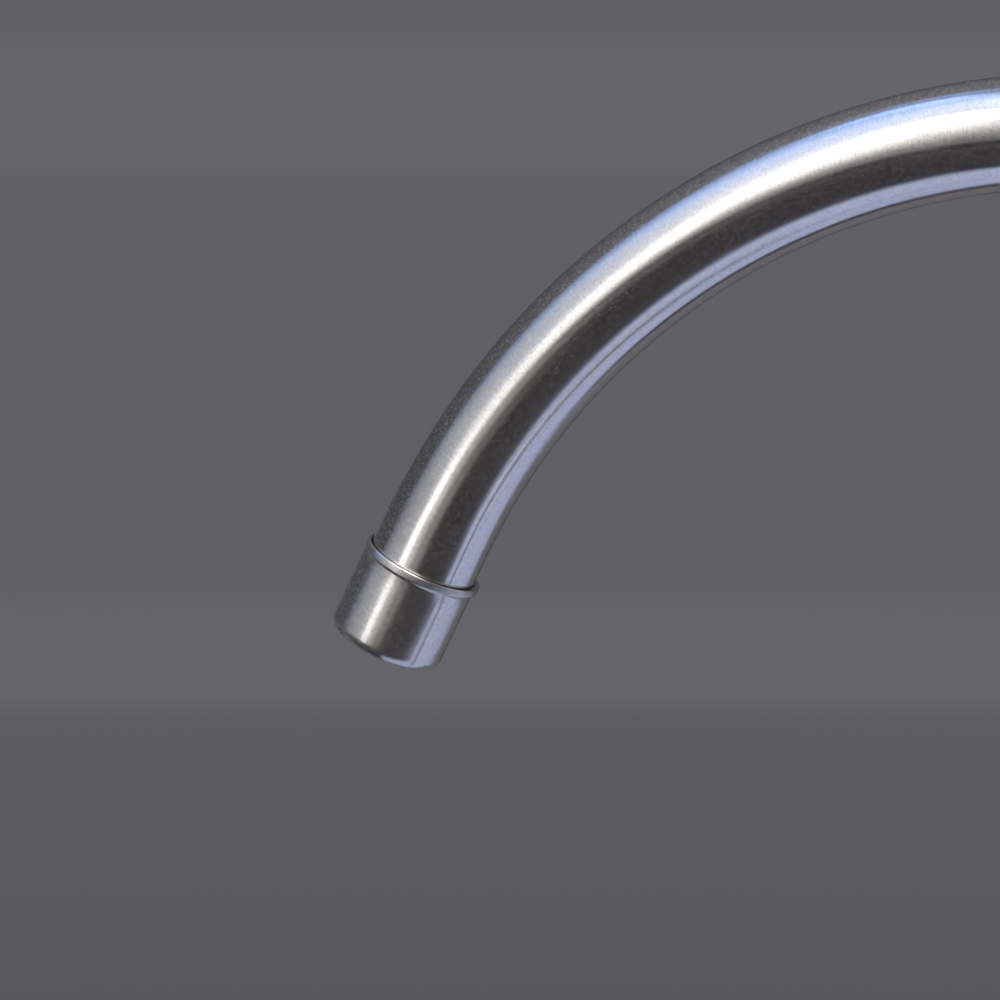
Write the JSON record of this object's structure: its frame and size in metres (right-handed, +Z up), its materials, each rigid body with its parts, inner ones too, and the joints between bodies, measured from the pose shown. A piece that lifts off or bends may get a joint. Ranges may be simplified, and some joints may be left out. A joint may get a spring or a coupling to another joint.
{
  "type": "water filter tap",
  "caption": "Gooseneck drinking water tap for an under-sink filter, with a swivel spout, a drawn tip cap, a side lever and a push-fit inlet below the counter.",
  "frame": {"origin": "on the shank's axis, in the plane of the counter's top that the base gasket rests on", "axes": "+Z up, the spout points to the front along -Y at rest, and the lever is on the right at +X"},
  "size_m": [0.0724, 0.1624, 0.343],
  "materials": {
    "brushed_steel": "satin stainless steel, brushed round the tube and along turned parts",
    "cap_steel": "thin drawn stainless steel, finely brushed, with a bright rolled edge",
    "inner_steel": "plain turned stainless steel",
    "brass": "turned brass",
    "black_rubber": "matt black rubber",
    "ceramic": "lapped white ceramic",
    "pale_plastic": "pale grey moulded acetal",
    "dark_plastic": "black moulded nylon"
  },
  "bodies": {
    "base": {"tap_body": "brushed_steel", "spout_collar": "brushed_steel", "glide_ring": "pale_plastic", "base_flange": "brushed_steel", "base_gasket": "black_rubber", "threaded_shank": "inner_steel", "cartridge_housing": "brass", "housing_o_ring": "black_rubber", "seat_seal": "black_rubber", "fixed_disc": "ceramic", "cartridge_cover": "brushed_steel", "inlet_adapter": "pale_plastic", "cone_washer": "black_rubber", "adapter_o_ring": "black_rubber", "grab_ring": "inner_steel", "collet_retainer": "dark_plastic"},
    "spout": {"spout_tube": "brushed_steel", "tip_cap": "cap_steel", "flow_straightener": "pale_plastic", "tip_washer": "black_rubber", "spout_stem": "inner_steel", "stem_o_rings": "black_rubber"},
    "handle": {"handle_hub": "brushed_steel", "handle_lever": "brushed_steel", "handle_screw": "inner_steel", "spindle": "brass", "spindle_o_rings": "black_rubber", "spindle_clip": "inner_steel", "moving_disc": "ceramic"},
    "clamp_stack": {"rubber_washer": "black_rubber", "spacer_washer": "dark_plastic", "lock_washer": "inner_steel"},
    "clamp_nut": {"lock_nut": "brass"},
    "inlet_collet": {"collet": "dark_plastic"}
  },
  "joints": [
    {"name": "spout_swivel", "type": "hinge", "parent": "base", "child": "spout", "pos_m": [0, 0, 0.062], "axis": [0, 0, 1], "continuous": true},
    {"name": "handle_turn", "type": "hinge", "parent": "base", "child": "handle", "pos_m": [0.03, 0, 0.03], "axis": [1, 0, 0], "range_deg": [0, 90]},
    {"name": "clamp_slide", "type": "slide", "parent": "base", "child": "clamp_stack", "axis": [0, 0, 1], "range_m": [-0.0165, 0.0165]},
    {"name": "nut_turn", "type": "hinge", "parent": "clamp_stack", "child": "clamp_nut", "pos_m": [0, 0, -0.0295], "axis": [0, 0, 1], "range_deg": [-5580, 5580]},
    {"name": "collet_press", "type": "slide", "parent": "base", "child": "inlet_collet", "axis": [0, 0, 1], "range_m": [0, 0.0012]}
  ],
  "couplings": [
    {"joint": "clamp_slide", "follows": "nut_turn", "m_per_rad": 0.00016844}
  ]
}
